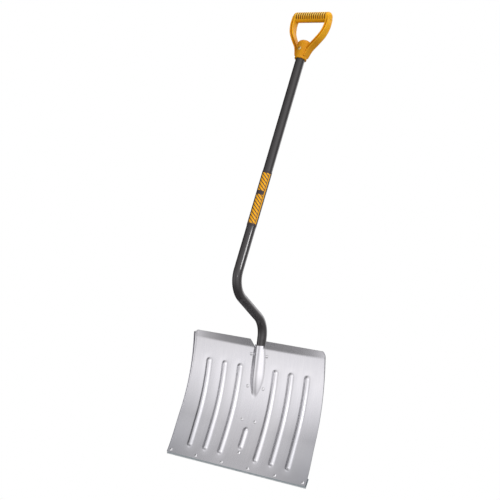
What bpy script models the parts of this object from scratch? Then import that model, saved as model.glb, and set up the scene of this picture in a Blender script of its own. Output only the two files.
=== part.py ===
"""Snow shovel: a ribbed aluminium scoop on a cranked steel tube with a D-shaped grip.

Units are metres. +Z runs up the straight part of the shaft, X runs across the scoop, and
the scoop's hollow side faces -Y. The origin is the middle of the wear strip's bottom face.
"""

import math

import bmesh
import bpy
from mathutils import Matrix, Vector

GAP = 0.0003                    # left between pieces that touch

# Scoop sheet
SCOOP_WIDTH = 0.457             # 18 in across the working edge
SCOOP_TOP_WIDTH = 0.431         # across the fold of the top lip
SHEET = 0.0016                  # aluminium thickness
EDGE_Z = 0.005                  # the sheet's lower edge, above the wear strip's
FLAT_Z = 0.030                  # the profile is straight below this
DEEPEST_Z = 0.120               # where the hollow is deepest
LOWER_RADIUS = 0.847            # profile below the deepest point
UPPER_RADIUS = 0.500            # profile above it
DISH = 0.0085                   # the sides stand this far ahead of the middle
FOLD_Z = 0.331                  # the top lip's fold
LIP_EDGE_Y, LIP_EDGE_Z = -0.056, 0.3476     # the lip's free edge, ahead of the fold
LIP_BEND = 0.003                # length of the fold's bend on each side of it
CORNER = 0.0105                 # rounded top corners
RIM_LOW_DEPTH = 0.0020          # side rims turned forward
RIM_TOP_DEPTH = 0.0073          # they deepen towards the fold
RIM_DEEPENS_Z = 0.110           # above this height
NOTCH_LOW = 0.0150              # half widths of the notch that the tube passes, at the fold
NOTCH_HIGH = 0.0254             # and at the lip's free edge
TONGUE_HALF = 0.0138            # the channel runs on above the fold between the notch's sides
TONGUE_TOP_Z = 0.339
TONGUE_TILT = 0.5               # the notch is cut square to the sheet: rise per distance back

# Ribs pressed towards the hollow side
RIB_X = (0.0583, 0.1090, 0.1615)
RIB_LOW, RIB_HIGH = 0.031, 0.284
RIB_HALF_WIDTH = 0.0105
RIB_HEIGHT = 0.0048
SWELL_HALF_WIDTH = 0.025        # the low swell of sheet that each long rib rises from
SWELL_HEIGHT = 0.0008
SHORT_RIB_LOW, SHORT_RIB_HIGH = 0.056, 0.120

# Half-round channel pressed round the tube, above the ribless middle
CHANNEL_REACH = 0.035           # it has run out by this X
CHANNEL_END_Z = 0.198           # its closed lower end
CHANNEL_FULL_Z = 0.262
CHANNEL_SINK = 0.0095           # how far it has sunk at its lower end
CHANNEL_TURN = 0.60             # share of the radius where the round gives way to a straight flank
PLATE_TURN = 0.85               # the same for the plate's half

# Wear strip behind the lower edge
STRIP = 0.0018
STRIP_HEIGHT = 0.026
STRIP_RIVET_Z = 0.0125
STRIP_RIVETS = 6
STRIP_RIVET_REACH = 0.217       # the outer rivets' X

# Shaft tube
TUBE_RADIUS = 0.0127            # 1 in tube
TUBE_WALL = 0.0014
TUBE_SIDES = 16
SHAFT_Y = -0.2318               # axis of the straight part
CRANK_HIGH_Z = 0.438            # where the straight part's axis meets the crank's
CRANK_Y = -0.0529               # where the crank's axis meets the socket's
CRANK_LOW_Z = 0.397
CRANK_RADIUS = 0.063
SOCKET_LEAN = math.radians(17)
TUBE_END_Z = 0.264
TUBE_TOP_Z = 1.142
CLEARANCE = 0.0004              # round the tube in its socket and in the grip

# Socket plate riveted behind the scoop
PLATE = 0.0015
PLATE_TOP_Z, PLATE_LOW_Z = 0.322, 0.029
PLATE_TOP_HALF, PLATE_MIDDLE_HALF, PLATE_LOW_HALF = 0.036, 0.029, 0.012
PLATE_SHOULDER = 0.080          # height over which the middle widens to the top
BULGE_LOW, BULGE_FULL = 0.148, 0.205
PLATE_PAIRS = ((0.0254, 0.312), (0.0256, 0.228), (0.0212, 0.138))
PLATE_LAST_Z = 0.0475
SOCKET_SCREW_Z = 0.290

# Rivets
SHANK = 0.0022
HEAD = 0.0043
HEAD_HEIGHT = 0.0019
HOLE = 0.0027

# Screws
SCREW_HEAD, SCREW_HEAD_HEIGHT = 0.0048, 0.0028
SCREW_SHANK, SCREW_HOLE = 0.0021, 0.0026
SCREW_RECESS = 0.0010
SOCKET_SCREW_LENGTH, GRIP_SCREW_LENGTH = 0.009, 0.010

# D grip
GRIP_LOW_Z = 1.098              # the socket's mouth
BAR_Z = 1.228
BAR_RADIUS = 0.0145
BAR_HALF = 0.060
HUB_LOW_RADIUS, HUB_HIGH_RADIUS = 0.0160, 0.0195
HUB_SHOULDER_Z, HUB_TOP_Z = 1.143, 1.1555
ARM_PATH = ((0.0095, 1.108), (0.0195, 1.132), (0.0355, 1.155),
            (0.0490, 1.178), (0.0545, 1.202), (0.0540, 1.226))
ARM_HALF_DEPTH = 0.0125
ARM_HALF_THICK = 0.0052
GRIP_SCREW_Z = 1.124

# Printed label on the shaft
LABEL_LOW_Z, LABEL_HIGH_Z = 0.610, 0.765
LABEL_TURN = math.radians(30)   # its middle, turned from -Y towards +X
LABEL_STEPS = 8                 # tube sides that it covers
FILM = 0.00025


# ---------------------------------------------------------------- helpers

def clear_scene():
    for obj in list(bpy.data.objects):
        bpy.data.objects.remove(obj, do_unlink=True)


def material(name, colour, metallic, roughness):
    made = bpy.data.materials.new(name)
    made.use_nodes = True
    shader = made.node_tree.nodes["Principled BSDF"]
    shader.inputs["Base Color"].default_value = (*colour, 1)
    shader.inputs["Metallic"].default_value = metallic
    shader.inputs["Roughness"].default_value = roughness
    return made


def object_of(name, mesh_or_bm, mat=None, smooth=True):
    if isinstance(mesh_or_bm, bmesh.types.BMesh):
        mesh = bpy.data.meshes.new(name)
        mesh_or_bm.to_mesh(mesh)
        mesh_or_bm.free()
    else:
        mesh = mesh_or_bm
    obj = bpy.data.objects.new(name, mesh)
    bpy.context.scene.collection.objects.link(obj)
    if smooth:
        mesh.shade_smooth()
        mesh.set_sharp_from_angle(angle=math.radians(35))
    if mat and not mesh.materials:
        mesh.materials.append(mat)
    return obj


def as_cutter(obj):
    obj.hide_render = True
    obj.display_type = "WIRE"
    return obj


def boolean(obj, operation, other):
    modifier = obj.modifiers.new(f"{operation} {other.name}", "BOOLEAN")
    modifier.operation = operation
    modifier.object = other


def solidify(obj, thickness, offset):
    """Gives a sheet its thickness: on its normals' side with an offset of 1, behind them with -1."""
    modifier = obj.modifiers.new("sheet", "SOLIDIFY")
    modifier.thickness = thickness
    modifier.offset = offset
    modifier.use_even_offset = True


def ease(value):
    """0 to 1 with level ends."""
    value = min(max(value, 0.0), 1.0)
    return value * value * (3 - 2 * value)


def between(low, high, steps):
    return [low + (high - low) * i / steps for i in range(steps + 1)]


def grid(rows):
    """A sheet through equal rows of points."""
    bm = bmesh.new()
    made = [[bm.verts.new(point) for point in row] for row in rows]
    for low, high in zip(made, made[1:]):
        for i in range(len(low) - 1):
            bm.faces.new((low[i], low[i + 1], high[i + 1], high[i]))
    return bm


def skin(rings, closed_ends=True):
    """A closed surface through equal rings of points."""
    bm = bmesh.new()
    made = [[bm.verts.new(point) for point in ring] for ring in rings]
    pairs = list(zip(made, made[1:]))
    if not closed_ends:
        pairs.append((made[-1], made[0]))
    for low, high in pairs:
        for i in range(len(low)):
            j = (i + 1) % len(low)
            bm.faces.new((low[i], low[j], high[j], high[i]))
    if closed_ends:
        bm.faces.new(made[0])
        bm.faces.new(made[-1])
    bmesh.ops.recalc_face_normals(bm, faces=bm.faces)
    return bm


def turned(profile, sides):
    """A solid turned about Z. The profile runs from the axis to the axis."""
    bm = bmesh.new()
    points = [bm.verts.new((radius, 0, z)) for radius, z in profile]
    edges = [bm.edges.new(pair) for pair in zip(points, points[1:])]
    bmesh.ops.spin(bm, geom=points + edges, cent=(0, 0, 0), axis=(0, 0, 1),
                   angle=math.tau, steps=sides, use_merge=True)
    bmesh.ops.remove_doubles(bm, verts=bm.verts, dist=1e-6)
    bmesh.ops.recalc_face_normals(bm, faces=bm.faces)
    return bm


def facing(direction, place):
    """A matrix that turns +Z to a direction and moves the origin to a place."""
    return Matrix.Translation(place) @ Vector(direction).to_track_quat("Z", "Y").to_matrix().to_4x4()


# ---------------------------------------------------------------- the scoop's surface

def middle_y(z):
    """Y of the hollow face on the middle line."""
    def arc(height):
        radius = LOWER_RADIUS if height < DEEPEST_Z else UPPER_RADIUS
        return -((height - DEEPEST_Z) ** 2) / (2 * radius)

    slope = (DEEPEST_Z - FLAT_Z) / LOWER_RADIUS
    foot = arc(FLAT_Z) - slope * FLAT_Z
    sheet_front = -(SHEET + GAP + STRIP / 2)
    shape = arc(z) if z > FLAT_Z else arc(FLAT_Z) - slope * (FLAT_Z - z)
    return shape - foot + sheet_front


def half_width(z):
    share = min(z / FOLD_Z, 1.0)
    return (SCOOP_WIDTH + (SCOOP_TOP_WIDTH - SCOOP_WIDTH) * share) / 2


def face_y(x, z):
    """Y of the hollow face before the ribs are pressed."""
    dish = DISH * ease(z / DEEPEST_Z)
    return middle_y(z) - dish * (x / half_width(z)) ** 2


def face_normal(x, z):
    """Out of the hollow face, towards -Y."""
    step = 0.001
    slope_x = (face_y(x + step, z) - face_y(x - step, z)) / (2 * step)
    slope_z = (face_y(x, z + step) - face_y(x, z - step)) / (2 * step)
    return Vector((slope_x, -1, slope_z)).normalized()


def hill(away, half_width, height):
    """The height of a round-topped hill at a distance from its middle line."""
    return height * (0.5 + 0.5 * math.cos(math.pi * min(away / half_width, 1.0)))


def rib_height(x, z):
    """How far the ribs, and the swells under the long ones, stand out of the face."""
    ribs = [(side * rib, RIB_LOW, RIB_HIGH, SWELL_HEIGHT) for rib in RIB_X for side in (-1, 1)]
    ribs.append((0, SHORT_RIB_LOW, SHORT_RIB_HIGH, 0.0))
    height = 0.0
    for rib_x, low, high, swell in ribs:
        nearest = min(max(z, low + RIB_HALF_WIDTH), high - RIB_HALF_WIDTH)
        away = math.hypot(x - rib_x, z - nearest)
        height += hill(away, RIB_HALF_WIDTH, RIB_HEIGHT) + hill(away, SWELL_HALF_WIDTH, swell)
    return height


def socket_y(z):
    """Y of the tube's axis behind the scoop."""
    return CRANK_Y + (CRANK_LOW_Z - z) * math.tan(SOCKET_LEAN)


def round_back(x, radius, turn):
    """Half of a round tube's section, run out along straight flanks, across the Y direction."""
    share = abs(x) / radius
    if share < turn:
        height = math.sqrt(1 - share ** 2)
    else:
        turned_height = math.sqrt(1 - turn ** 2)
        height = turned_height - (share - turn) * turn / turned_height
    return radius * height / math.cos(SOCKET_LEAN)


def soft_above(height, blend=0.003):
    """The greater of a height and 0, with the corner rounded over this much on each side."""
    if abs(height) >= blend:
        return max(height, 0.0)
    return (height + blend) ** 2 / (4 * blend)


def channel_height(x, z):
    """How far the socket's front half stands out of the face. Below the tube it sinks to a point."""
    outer = TUBE_RADIUS + CLEARANCE + SHEET
    front = socket_y(z) - round_back(x, outer, CHANNEL_TURN)
    below = max(CHANNEL_FULL_Z - z, 0.0) / (CHANNEL_FULL_Z - CHANNEL_END_Z)
    return soft_above(face_y(x, z) - front - CHANNEL_SINK * below ** 2)


def sheet_point(x, z):
    height = channel_height(x, z) if abs(x) < CHANNEL_REACH else 0
    return Vector((x, face_y(x, z) - height - rib_height(x, z), z))


def scoop_columns():
    """X of the columns on one side, from the middle to just inside the rim."""
    columns = [0, 0.0045, 0.0085, 0.0115, 0.0135, 0.0155, 0.018, 0.0215, 0.036]
    for rib in RIB_X:
        columns.append((columns[-1] + rib - RIB_HALF_WIDTH) / 2)
        columns += [rib + RIB_HALF_WIDTH * share for share in (-1, -0.5, 0, 0.5, 1)]
    return columns


def scoop_rows():
    """Heights of the rows below the fold's bend."""
    ends = [RIB_HALF_WIDTH * share for share in (0, 0.42, 1)]
    heights = [EDGE_Z, 0.020]
    heights += [RIB_LOW + end for end in ends]
    heights += [SHORT_RIB_LOW, SHORT_RIB_LOW + 0.004, SHORT_RIB_LOW + RIB_HALF_WIDTH, 0.085]
    heights += [SHORT_RIB_HIGH - RIB_HALF_WIDTH, SHORT_RIB_HIGH - 0.004, SHORT_RIB_HIGH]
    heights += [PLATE_PAIRS[-1][1], 0.160] + between(CHANNEL_END_Z, CHANNEL_FULL_Z, 6)
    heights += [RIB_HIGH - end for end in reversed(ends)] + [0.297, 0.313, FOLD_Z - LIP_BEND]
    return heights


def fold_lean():
    return math.atan((FOLD_Z - DEEPEST_Z) / UPPER_RADIUS)


def lip_point(x, share):
    """A point on the lip: share -1 is where the bend starts, 0 the fold, and 1 the free edge."""
    fold = sheet_point(x, FOLD_Z)
    edge = Vector((x, LIP_EDGE_Y, LIP_EDGE_Z))
    if abs(x) < TONGUE_HALF:
        rise = (LIP_EDGE_Z - FOLD_Z) * share if share > 0 else LIP_BEND * share
        return fold + Vector((0, -rise * math.tan(SOCKET_LEAN), rise))
    reach = LIP_BEND / (edge - fold).length
    if share >= reach:
        return fold.lerp(edge, share)
    below = sheet_point(x, FOLD_Z - LIP_BEND)
    above = fold.lerp(edge, reach)
    along = (share + 1) / (reach + 1)
    return below.lerp(fold, along).lerp(fold.lerp(above, along), along)


def rim_points(z, share):
    """X and forward offset of the side rim's points at one row. Along the lip the rim unrolls."""
    unrolled = ease(max(share, 0) ** 2)
    fade = 1 - 0.95 * unrolled
    deepening = max(z - RIM_DEEPENS_Z, 0.0) / (FOLD_Z - RIM_DEEPENS_Z)
    depth = RIM_LOW_DEPTH + (RIM_TOP_DEPTH - RIM_LOW_DEPTH) * min(deepening, 1.0) ** 2
    depth *= 0.3 + 0.7 * fade
    bend, flange = depth * 0.6, depth * 0.4
    turn = math.pi / 2 * fade
    radius = bend / fade
    side = Vector((half_width(FOLD_Z), face_y(half_width(FOLD_Z), FOLD_Z), FOLD_Z))
    length = math.hypot(LIP_EDGE_Y - side.y, LIP_EDGE_Z - side.z)
    into_corner = max(share * length - (length - CORNER), 0.0)
    edge = half_width(z) - SHEET - CORNER + math.sqrt(CORNER ** 2 - into_corner ** 2)
    start = edge - radius * math.sin(turn) - flange * math.cos(turn)
    points = [(start + radius * math.sin(turn * part), radius * (1 - math.cos(turn * part)))
              for part in (0, 1 / 3, 2 / 3, 1)]
    last_x, last_forward = points[-1]
    points.append((last_x + flange * math.cos(turn), last_forward + flange * math.sin(turn)))
    return points


def whole_row(rim, point_at):
    """One row across the sheet, from the left rim to the right one."""
    columns = scoop_columns()
    columns.append((columns[-1] + rim[0][0]) / 2)
    points = [point_at(x) for x in columns]
    for x, forward in rim:
        points.append(point_at(x) - Vector((0, forward, 0)))
    left = [Vector((-point.x, point.y, point.z)) for point in reversed(points[1:])]
    return left + points


def scoop_mesh():
    rows = [whole_row(rim_points(z, 0), lambda x, z=z: sheet_point(x, z)) for z in scoop_rows()]
    for share in (-0.5, 0, 0.17, 0.34, 0.55, 0.72, 0.86, 0.95, 1):
        rows.append(whole_row(rim_points(FOLD_Z, share), lambda x, share=share: lip_point(x, share)))
    return grid(rows)


def make_notch_cutter():
    """Cuts the lip square to the sheet, and trims the channel's tongue between the notch's sides."""
    fold_y = middle_y(FOLD_Z)
    edge_z = LIP_EDGE_Z + TONGUE_TILT * (fold_y - LIP_EDGE_Y)
    flare = (NOTCH_HIGH - NOTCH_LOW) / (edge_z - FOLD_Z)
    high = edge_z + 0.012
    top = NOTCH_LOW + flare * (high - FOLD_Z)
    outline = ((-top, high), (-NOTCH_LOW, FOLD_Z), (-TONGUE_HALF, TONGUE_TOP_Z),
               (TONGUE_HALF, TONGUE_TOP_Z), (NOTCH_LOW, FOLD_Z), (top, high))
    rings = [[(x, y, z + TONGUE_TILT * (y - fold_y)) for x, z in outline] for y in (-0.09, 0.03)]
    return as_cutter(object_of("notch_cutter", skin(rings), smooth=False))


# ---------------------------------------------------------------- rivets and their holes

def strip_rivet_places():
    reach = between(-STRIP_RIVET_REACH, STRIP_RIVET_REACH, STRIP_RIVETS - 1)
    return [(x, STRIP_RIVET_Z) for x in reach]


def plate_rivet_places():
    places = [(side * x, z) for x, z in PLATE_PAIRS for side in (-1, 1)]
    return places + [(0, PLATE_LAST_Z)]


def make_hole_cutter(places):
    """One cutter with a pin through the sheets at each place."""
    bm = bmesh.new()
    for x, z in places:
        place = Vector((x, face_y(x, z), z))
        bmesh.ops.create_cone(bm, cap_ends=True, segments=12, radius1=HOLE, radius2=HOLE,
                              depth=0.016, matrix=facing(face_normal(x, z), place))
    return as_cutter(object_of("rivet_hole_cutter", bm, smooth=False))


def rivet_mesh(name, grip, mat):
    """A rivet along Z: a domed head above 0, and an upset head below the sheets that it grips."""
    under = -(grip + GAP)
    profile = [(0, GAP + HEAD_HEIGHT), (HEAD * 0.55, GAP + HEAD_HEIGHT * 0.83),
               (HEAD * 0.9, GAP + HEAD_HEIGHT * 0.4), (HEAD, GAP), (SHANK, GAP), (SHANK, under),
               (HEAD * 0.85, under), (HEAD * 0.75, under - 0.0012), (0, under - 0.0015)]
    bm = turned(profile, 12)
    mesh = bpy.data.meshes.new(name)
    bm.to_mesh(mesh)
    bm.free()
    mesh.shade_smooth()
    mesh.set_sharp_from_angle(angle=math.radians(40))
    mesh.materials.append(mat)
    return mesh


def make_rivets(name, places, backing, mat):
    mesh = rivet_mesh(name, SHEET + GAP + backing, mat)
    for number, (x, z) in enumerate(places, 1):
        obj = object_of(f"{name}_{number}", mesh, smooth=False)
        obj.matrix_world = facing(face_normal(x, z), (x, face_y(x, z), z))


# ---------------------------------------------------------------- sheet-metal pieces

def make_scoop(mat, holes, notch):
    obj = object_of("scoop_blade", scoop_mesh(), mat)
    solidify(obj, SHEET, -1)
    boolean(obj, "DIFFERENCE", notch)
    boolean(obj, "DIFFERENCE", holes)


def make_wear_strip(mat, holes):
    """A flat bar behind the lower edge, leaning with the sheet, with level top and bottom faces."""
    front = -STRIP / 2
    lean = middle_y(STRIP_HEIGHT) - middle_y(0)
    half = SCOOP_WIDTH / 2
    section = ((front, 0), (-front, 0), (-front + lean, STRIP_HEIGHT), (front + lean, STRIP_HEIGHT))
    rings = [[(x, y, z) for y, z in section] for x in (-half, half)]
    obj = object_of("wear_strip", skin(rings), mat, smooth=False)
    boolean(obj, "DIFFERENCE", holes)


def plate_half(z):
    """The socket plate's half width: straight sides below a broad top, with a round foot."""
    middle_z = PLATE_PAIRS[-1][1]
    share = min((z - PLATE_LOW_Z) / (middle_z - PLATE_LOW_Z), 1.0)
    half = PLATE_LOW_HALF + (PLATE_MIDDLE_HALF - PLATE_LOW_HALF) * share
    half += (PLATE_TOP_HALF - PLATE_MIDDLE_HALF) * ease((z - middle_z) / PLATE_SHOULDER)
    above_foot = z - PLATE_LOW_Z - PLATE_LOW_HALF
    if above_foot < 0:
        half = min(half, math.sqrt(PLATE_LOW_HALF ** 2 - above_foot ** 2) + 0.0015)
    return half


def plate_point(x, z):
    inner = TUBE_RADIUS + CLEARANCE
    rest = face_y(x, z) + (SHEET + GAP) / math.cos(fold_lean() * ease((z - DEEPEST_Z) / 0.2))
    bulge = soft_above(socket_y(z) + round_back(x, inner, PLATE_TURN) - rest, 0.0018)
    return Vector((x, rest + bulge * ease((z - BULGE_LOW) / (BULGE_FULL - BULGE_LOW)), z))


def make_socket_plate(mat, holes, screw_hole):
    heights = [PLATE_LOW_Z + rise for rise in (0, 0.0015, 0.004, 0.008, 0.012)]
    heights += [0.060, 0.100, 0.130]
    heights += between(BULGE_LOW, BULGE_FULL, 5)
    heights += [0.215, 0.240, 0.265, SOCKET_SCREW_Z, 0.306, PLATE_TOP_Z]
    columns = (0, 0.004, 0.0075, 0.0100, 0.0118, 0.0135, 0.0155, 0.018, 0.0205)
    rows = []
    for z in heights:
        half = plate_half(z)
        scale = min(1.0, half * 0.8 / columns[-1])
        side = [x * scale for x in columns] + [half]
        # Rows run from +X to -X, so that the sheet's normals face back.
        across = side[:0:-1] + [-x for x in side]
        rows.append([plate_point(x, z) for x in across])
    obj = object_of("socket_plate", grid(rows), mat)
    solidify(obj, PLATE, 1)
    boolean(obj, "DIFFERENCE", holes)
    boolean(obj, "DIFFERENCE", screw_hole)


# ---------------------------------------------------------------- shaft

def crank_path():
    """Centre points and directions down the shaft, in the YZ plane."""
    foot_y = socket_y(TUBE_END_Z)
    corners = [Vector((SHAFT_Y, TUBE_TOP_Z)), Vector((SHAFT_Y, CRANK_HIGH_Z)),
               Vector((CRANK_Y, CRANK_LOW_Z)), Vector((foot_y, TUBE_END_Z))]
    path = [(corners[0], (corners[1] - corners[0]).normalized())]
    for before, corner, after in zip(corners, corners[1:], corners[2:]):
        into, out = (corner - before).normalized(), (after - corner).normalized()
        turn = into.angle(out)
        back = CRANK_RADIUS * math.tan(turn / 2)
        sense = 1 if into.x * out.y - into.y * out.x > 0 else -1
        across = Vector((-into.y, into.x)) * sense
        centre = corner - into * back + across * CRANK_RADIUS
        steps = 8
        for i in range(steps + 1):
            angle = turn * i / steps
            offset = -across * math.cos(angle) + into * math.sin(angle)
            along = into * math.cos(angle) + across * math.sin(angle)
            path.append((centre + offset * CRANK_RADIUS, along))
    path.append((corners[-1], path[-1][1]))
    return path


def ring_round(centre, along, radius, sides=TUBE_SIDES):
    side = Vector((1, 0, 0))
    middle = Vector((0, centre.x, centre.y))
    across = Vector((0, along.x, along.y)).cross(side)
    angles = [math.tau * i / sides for i in range(sides)]
    return [middle + (side * math.cos(a) + across * math.sin(a)) * radius for a in angles]


def make_tube(mat, screw_holes):
    path = crank_path()
    outside = [ring_round(c, d, TUBE_RADIUS) for c, d in path]
    inside = [ring_round(c, d, TUBE_RADIUS - TUBE_WALL) for c, d in path]
    obj = object_of("shaft_tube", skin(outside + inside[::-1], closed_ends=False), mat)
    for hole in screw_holes:
        boolean(obj, "DIFFERENCE", hole)


def make_label(mat):
    """A printed film round the front of the shaft."""
    inner, outer = TUBE_RADIUS + GAP, TUBE_RADIUS + GAP + FILM
    step = math.tau / TUBE_SIDES
    middle = round((-math.pi / 2 + LABEL_TURN) / step)
    angles = [(middle + i) * step for i in range(-LABEL_STEPS // 2, LABEL_STEPS // 2 + 1)]
    section = [(outer * math.cos(a), outer * math.sin(a)) for a in angles]
    section += [(inner * math.cos(a), inner * math.sin(a)) for a in reversed(angles)]
    rings = [[(x, SHAFT_Y + y, z) for x, y in section] for z in (LABEL_LOW_Z, LABEL_HIGH_Z)]
    object_of("shaft_label", skin(rings), mat)


# ---------------------------------------------------------------- screws

def make_screw(name, place, direction, length, mat):
    """A screw along Z, its head above 0 with a round drive recess, turned to a direction."""
    head, top, shank = SCREW_HEAD, SCREW_HEAD_HEIGHT, SCREW_SHANK
    floor = top - SCREW_RECESS
    profile = [(0, floor), (head * 0.35, floor), (head * 0.35, top), (head * 0.8, top),
               (head, top * 0.55), (head, 0), (shank, 0), (shank, -length + 0.002),
               (shank * 0.4, -length), (0, -length)]
    obj = object_of(name, turned(profile, 12), mat)
    obj.matrix_world = facing(direction, place)


def make_pin_cutter(name, place, direction, radius, length):
    bm = bmesh.new()
    bmesh.ops.create_cone(bm, cap_ends=True, segments=16, radius1=radius, radius2=radius,
                          depth=length, matrix=facing(direction, place))
    return as_cutter(object_of(name, bm, smooth=False))


def socket_screw_seat():
    """Where the socket screw's head sits on the plate, and the direction out of it."""
    direction = Vector((0, math.cos(SOCKET_LEAN), math.sin(SOCKET_LEAN)))
    axis = Vector((0, socket_y(SOCKET_SCREW_Z), SOCKET_SCREW_Z))
    return axis + direction * (TUBE_RADIUS + CLEARANCE + PLATE + 2 * GAP), direction


def grip_screw_seat():
    """Where the grip screw's head sits on the front of the hub, and the direction out of it."""
    share = (GRIP_SCREW_Z + SCREW_HEAD - GRIP_LOW_Z) / (HUB_SHOULDER_Z - GRIP_LOW_Z)
    radius = HUB_LOW_RADIUS + (HUB_HIGH_RADIUS - HUB_LOW_RADIUS) * share
    return Vector((0, SHAFT_Y - radius - GAP, GRIP_SCREW_Z)), Vector((0, -1, 0))


# ---------------------------------------------------------------- grip

def smooth_path(points, steps):
    """Points along a Catmull-Rom curve through hand-placed ones."""
    ends = [points[0] * 2 - points[1]] + points + [points[-1] * 2 - points[-2]]
    path = []
    for a, b, c, d in zip(ends, ends[1:], ends[2:], ends[3:]):
        for i in range(steps):
            t = i / steps
            path.append(0.5 * (2 * b + (c - a) * t + (2 * a - 5 * b + 4 * c - d) * t ** 2
                               + (3 * b - 3 * c + d - a) * t ** 3))
    return path + [points[-1]]


def arm_section(count=12):
    """A rounded bar section: across the arm, and along Y."""
    section = []
    for i in range(count):
        a = math.tau * (i + 0.5) / count
        u, v = math.cos(a), math.sin(a)
        section.append((math.copysign(abs(u) ** 0.6, u) * ARM_HALF_THICK,
                        math.copysign(abs(v) ** 0.6, v) * ARM_HALF_DEPTH))
    return section


def make_arm(side):
    """One arm, from inside the hub to inside the bar. It starts thicker than it goes on."""
    path = smooth_path([Vector((side * x, z)) for x, z in ARM_PATH], 2)
    rings = []
    for i, point in enumerate(path):
        along = (path[min(i + 1, len(path) - 1)] - path[max(i - 1, 0)]).normalized()
        across = Vector((along.y, -along.x))
        spread = 1.35 - 0.35 * min(i / 4, 1)
        ring = []
        for u, v in arm_section():
            centre = point + across * u * spread
            ring.append((centre.x, SHAFT_Y + v, centre.y))
        rings.append(ring)
    name = "grip_arm_right" if side > 0 else "grip_arm_left"
    return as_cutter(object_of(name, skin(rings), smooth=False))


def make_bar():
    bm = turned([(0, -BAR_HALF), (BAR_RADIUS * 0.72, -BAR_HALF), (BAR_RADIUS, -BAR_HALF + 0.005),
                 (BAR_RADIUS, BAR_HALF - 0.005), (BAR_RADIUS * 0.72, BAR_HALF), (0, BAR_HALF)], 20)
    bmesh.ops.rotate(bm, verts=bm.verts, matrix=Matrix.Rotation(math.pi / 2, 3, "Y"))
    bmesh.ops.translate(bm, verts=bm.verts, vec=(0, SHAFT_Y, BAR_Z))
    return as_cutter(object_of("grip_bar", bm, smooth=False))


def make_bore_cutter():
    """Opens the hub from below its mouth to just above the tube's end."""
    low, high = GRIP_LOW_Z - 0.005, TUBE_TOP_Z + 0.0006
    middle = Vector((0, SHAFT_Y, (low + high) / 2))
    return make_pin_cutter("grip_bore_cutter", middle, (0, 0, 1), TUBE_RADIUS + CLEARANCE, high - low)


def make_grip(mat, bore, screw_hole):
    dome = HUB_TOP_Z - HUB_SHOULDER_Z
    profile = [(0, GRIP_LOW_Z), (HUB_LOW_RADIUS, GRIP_LOW_Z), (HUB_HIGH_RADIUS, HUB_SHOULDER_Z)]
    for degrees in (25, 50, 75):
        turn = math.radians(degrees)
        profile.append((HUB_HIGH_RADIUS * math.cos(turn), HUB_SHOULDER_Z + dome * math.sin(turn)))
    profile.append((0, HUB_TOP_Z))
    bm = turned(profile, 24)
    bmesh.ops.translate(bm, verts=bm.verts, vec=(0, SHAFT_Y, 0))
    obj = object_of("d_grip", bm, mat)
    for piece in (make_arm(-1), make_arm(1), make_bar()):
        boolean(obj, "UNION", piece)
    boolean(obj, "DIFFERENCE", bore)
    boolean(obj, "DIFFERENCE", screw_hole)


# ---------------------------------------------------------------- the shovel

def build():
    clear_scene()
    aluminium = material("scoop aluminium", (0.72, 0.72, 0.74), 1.0, 0.34)
    galvanised = material("galvanised steel", (0.46, 0.51, 0.52), 1.0, 0.45)
    rivet_metal = material("rivet aluminium", (0.85, 0.85, 0.86), 1.0, 0.25)
    plate_metal = material("zinc plated steel", (0.55, 0.56, 0.57), 1.0, 0.40)
    paint = material("charcoal paint", (0.055, 0.055, 0.058), 0.2, 0.35)
    plastic = material("amber plastic", (0.80, 0.36, 0.03), 0.0, 0.38)
    print_ink = material("label film", (0.78, 0.42, 0.05), 0.0, 0.45)
    screw_metal = material("screw steel", (0.62, 0.60, 0.55), 1.0, 0.30)

    holes = make_hole_cutter(strip_rivet_places() + plate_rivet_places())
    make_scoop(aluminium, holes, make_notch_cutter())
    make_wear_strip(galvanised, holes)
    make_rivets("strip_rivet", strip_rivet_places(), STRIP + GAP, rivet_metal)
    make_rivets("plate_rivet", plate_rivet_places(), PLATE + GAP, rivet_metal)

    seat, outward = socket_screw_seat()
    socket_hole = make_pin_cutter("socket_screw_cutter", seat, outward, SCREW_HOLE, 0.020)
    make_socket_plate(plate_metal, holes, socket_hole)
    make_screw("socket_screw", seat, outward, SOCKET_SCREW_LENGTH, screw_metal)

    seat, outward = grip_screw_seat()
    grip_hole = make_pin_cutter("grip_screw_cutter", seat, outward, SCREW_HOLE, 0.020)
    make_grip(plastic, make_bore_cutter(), grip_hole)
    make_screw("grip_screw", seat, outward, GRIP_SCREW_LENGTH, screw_metal)

    make_tube(paint, (socket_hole, grip_hole))
    make_label(print_ink)


build()
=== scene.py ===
"""Looks of the snow shovel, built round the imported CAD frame. Metres, in the frame of the part:
+Z runs up the shaft, X across the scoop, and the scoop's hollow side faces -Y."""

import math

import bmesh
import bpy
from mathutils import Matrix, Vector


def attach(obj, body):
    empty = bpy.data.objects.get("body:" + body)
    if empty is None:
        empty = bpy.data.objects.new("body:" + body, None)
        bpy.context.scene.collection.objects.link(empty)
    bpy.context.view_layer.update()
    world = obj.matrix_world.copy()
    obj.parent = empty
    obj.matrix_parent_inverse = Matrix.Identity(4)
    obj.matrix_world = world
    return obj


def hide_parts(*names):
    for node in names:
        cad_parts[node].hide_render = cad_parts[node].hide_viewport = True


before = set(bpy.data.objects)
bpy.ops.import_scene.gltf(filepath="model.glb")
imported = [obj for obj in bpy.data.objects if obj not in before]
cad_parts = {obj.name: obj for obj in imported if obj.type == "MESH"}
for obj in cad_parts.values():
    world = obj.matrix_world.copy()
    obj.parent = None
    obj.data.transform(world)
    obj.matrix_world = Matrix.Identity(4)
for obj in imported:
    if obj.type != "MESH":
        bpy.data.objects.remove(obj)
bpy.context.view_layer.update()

GAP = 0.0003

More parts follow.
